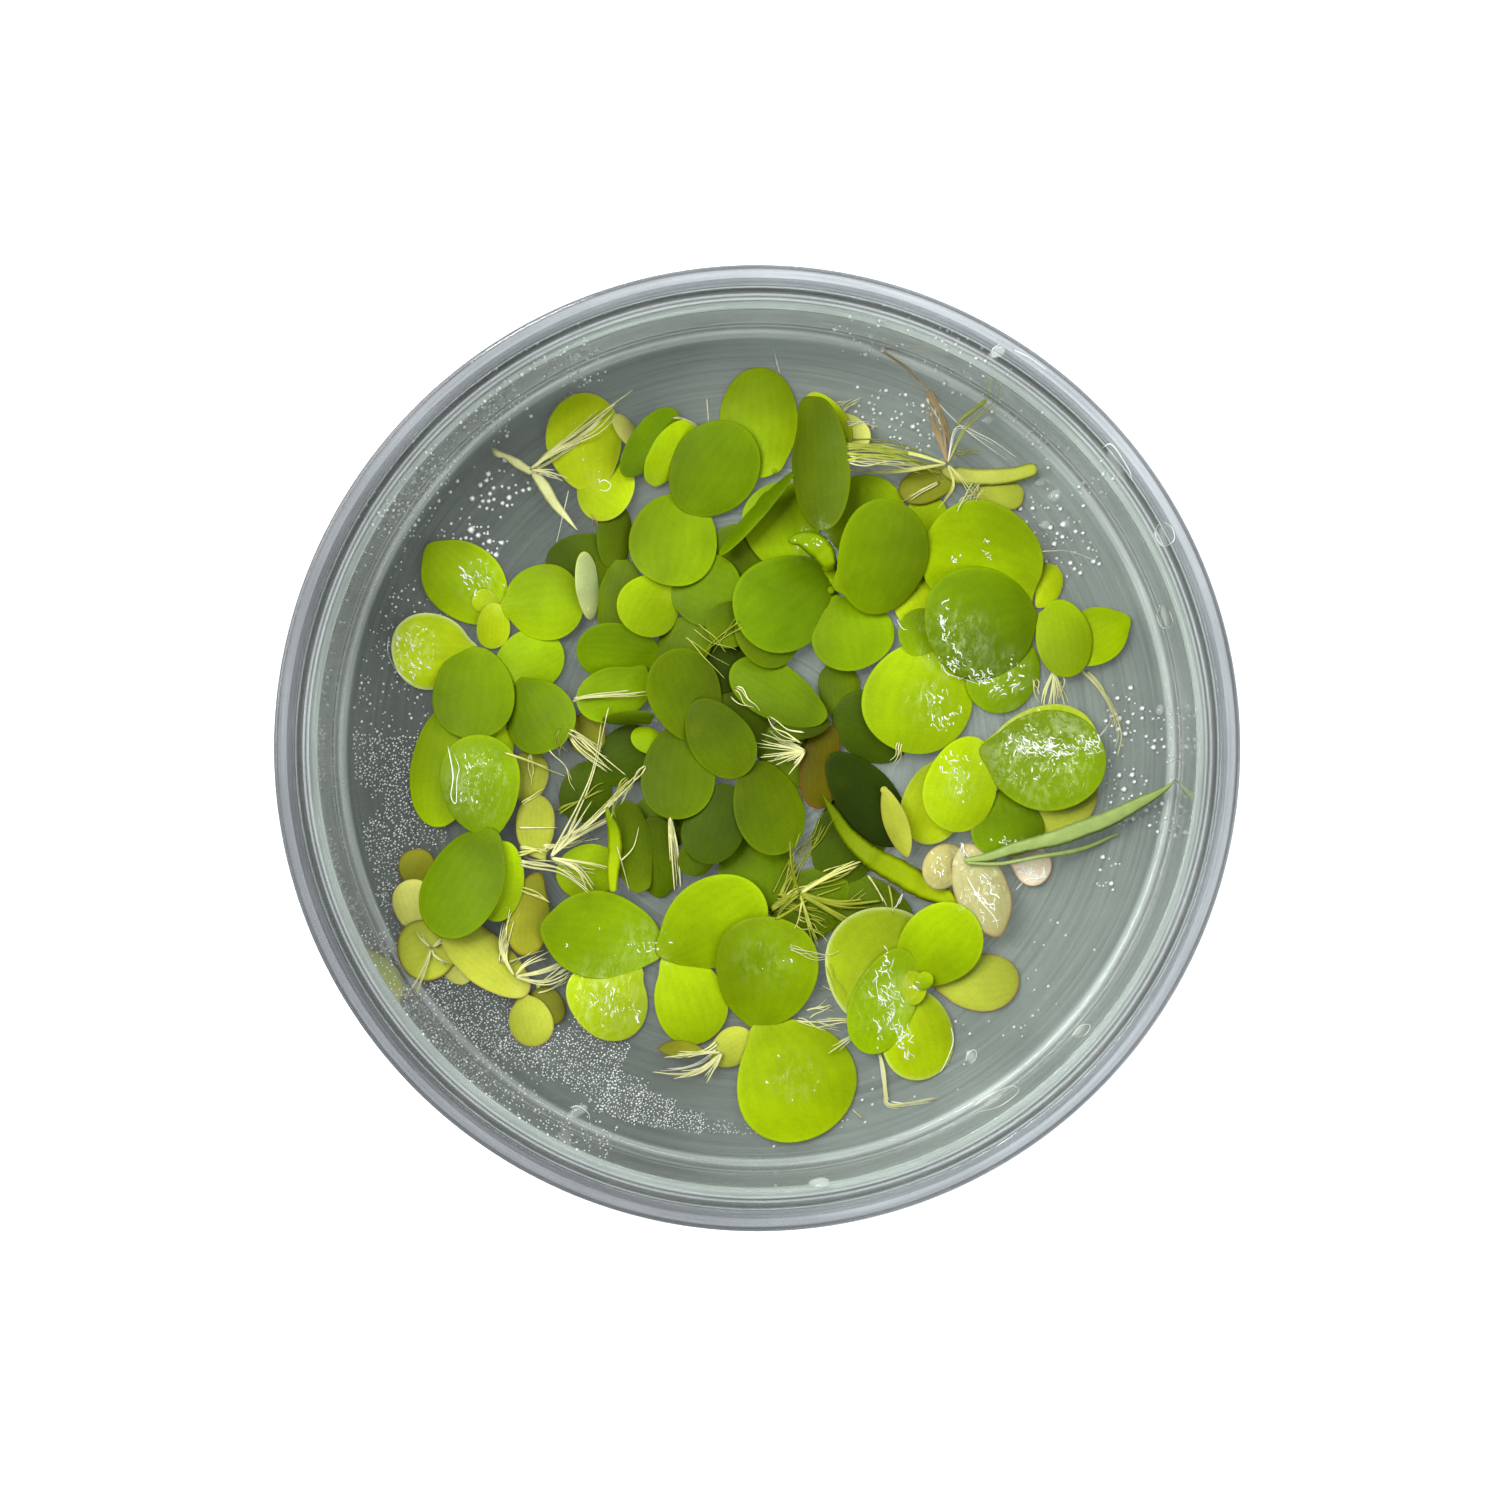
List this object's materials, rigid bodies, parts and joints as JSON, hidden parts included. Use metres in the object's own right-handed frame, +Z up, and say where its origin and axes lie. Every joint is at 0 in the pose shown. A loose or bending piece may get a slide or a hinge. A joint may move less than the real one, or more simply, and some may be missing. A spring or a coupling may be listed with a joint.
{
  "type": "bowl of giant duckweed",
  "caption": "Shallow round tub of clear smoke-grey plastic holding a wet heap of giant duckweed: rosettes of round green fronds with pale upturned undersides and thin cream roots.",
  "frame": {"origin": "middle of the tub's underside, on the surface it stands on", "axes": "+Z up out of the tub's mouth; +Y towards the top of the picture and +X to its right"},
  "size_m": [0.09, 0.09, 0.02],
  "materials": {
    "tub": "gloss",
    "frond_bright": "satin",
    "frond_mid": "satin",
    "frond_dark": "satin",
    "frond_yellow": "satin",
    "frond_olive": "satin",
    "frond_pale": "satin",
    "frond_brown": "satin",
    "roots": "satin"
  },
  "bodies": {
    "root": {"tub": "tub", "bed_left": "frond_dark", "bed_lower_left": "frond_dark", "bed_centre": "frond_dark", "bed_upper": "frond_dark", "bed_lower": "frond_dark", "left_edge_pair": "frond_dark", "lower_left_upturned": "frond_pale", "lower_left_chain": "frond_pale", "root_fan": "frond_pale", "upper_left_shaded": "frond_dark", "left_shaded": "frond_mid", "lower_shaded": "frond_dark", "centre_lower": "frond_dark", "top_shaded": "frond_dark", "upper_right_shaded": "frond_dark", "right_shaded": "frond_brown", "arc_shaded": "frond_dark", "green_arc": "frond_mid", "right_upturned": "frond_pale", "upper_right_upturned": "frond_olive", "left_inner_pair": "frond_dark", "left_rosette": "frond_mid", "left_pair": "frond_dark", "lower_left_rosette": "frond_mid", "upper_left_pair": "frond_yellow", "upper_slivers": "frond_yellow", "upper_low_pair": "frond_yellow", "top_left_frond": "frond_mid", "top_pair": "frond_dark", "upper_centre_pair": "frond_dark", "centre_rosette": "frond_mid", "centre_right_pair": "frond_bright", "right_inner": "frond_dark", "right_rosette": "frond_bright", "centre_top_rosette": "frond_pale", "right_low_rosette": "frond_bright", "bottom_rosette": "frond_bright", "bottom_scraps": "frond_olive", "bottom_pair": "frond_dark", "lower_right_rosette": "frond_yellow", "cream_sliver": "frond_pale", "standing_y": "frond_pale", "standing_strip": "frond_bright", "pale_sliver": "frond_pale", "lower_left_upturned_roots": "roots", "lower_left_chain_roots": "roots", "root_fan_roots": "roots", "left_inner_roots": "roots", "lower_shaded_roots": "roots", "centre_roots": "roots", "top_right_roots": "roots", "centre_right_roots": "roots", "right_rosette_roots": "roots", "upper_right_roots": "roots", "right_runner": "roots", "bottom_scraps_roots": "roots", "lower_right_roots": "roots", "standing_y_roots": "roots"}
  },
  "joints": []
}
